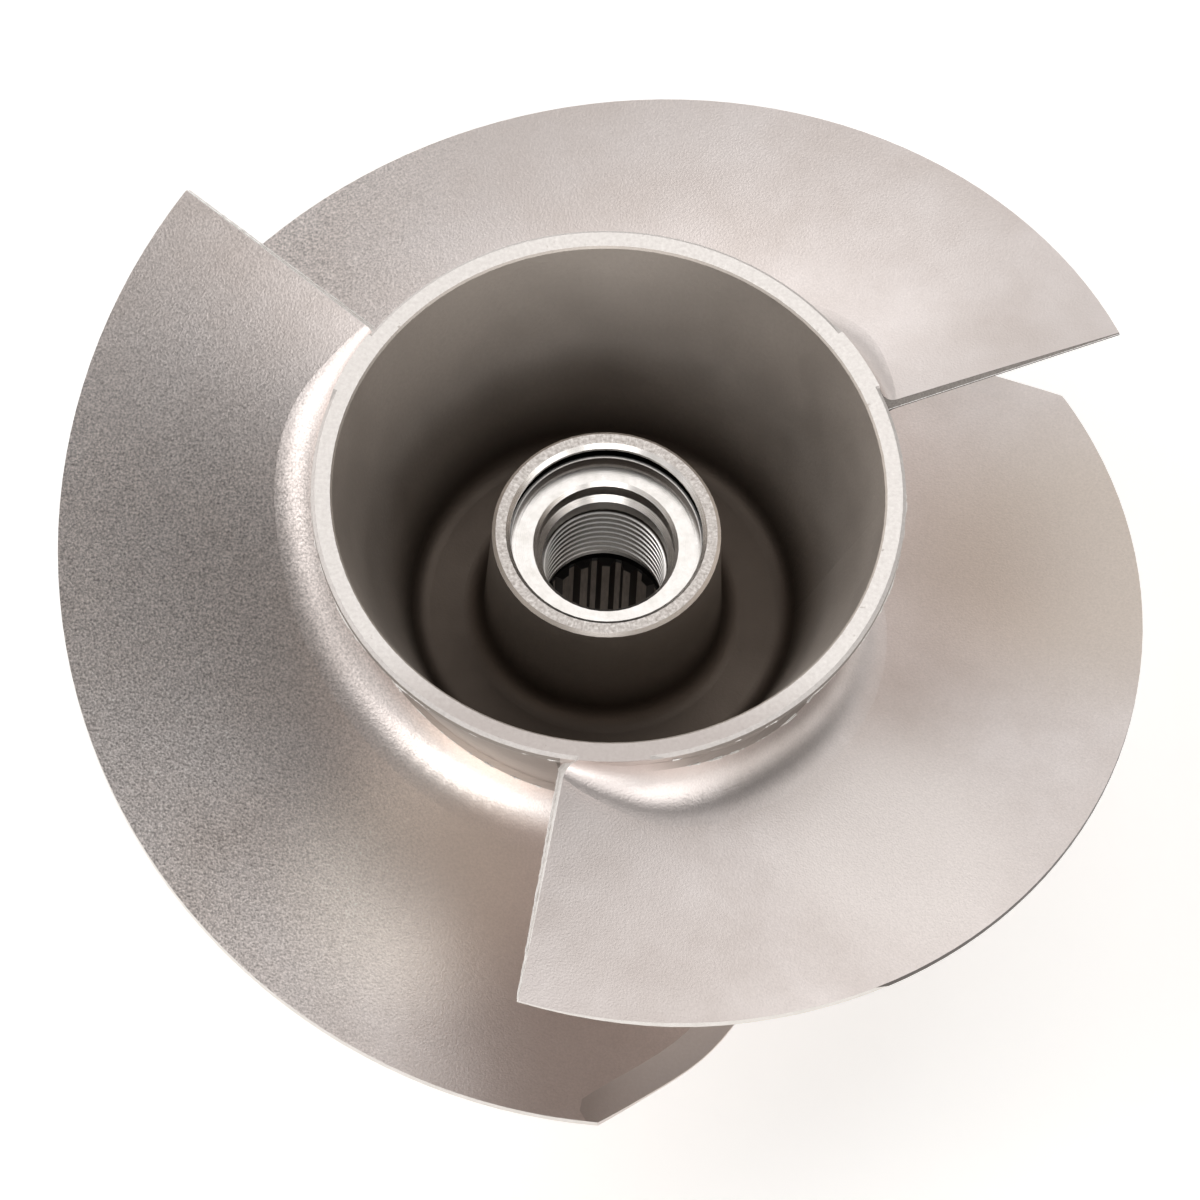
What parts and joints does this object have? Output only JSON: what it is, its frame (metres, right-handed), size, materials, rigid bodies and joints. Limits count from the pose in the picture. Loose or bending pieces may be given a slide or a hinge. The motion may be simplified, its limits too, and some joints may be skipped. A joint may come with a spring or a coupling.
{
  "type": "pump impeller",
  "caption": "One-piece cast pump impeller: a conical hub, open at its wide end, with wide twisted blades outside and a threaded, splined boss inside",
  "frame": {"origin": "on the axis of rotation, in the nose face that the impeller stands on", "axes": "+Z along the axis of rotation from the nose towards the hub's open end; +X to the right and +Y away from the viewer, as the picture shows the part"},
  "size_m": [0.1554, 0.1554, 0.076],
  "materials": {
    "cast_steel": "bead-blasted cast stainless steel, satin, with machined bright rim, boss top, seat and thread"
  },
  "bodies": {
    "root": {"impeller": "cast_steel"}
  },
  "joints": []
}
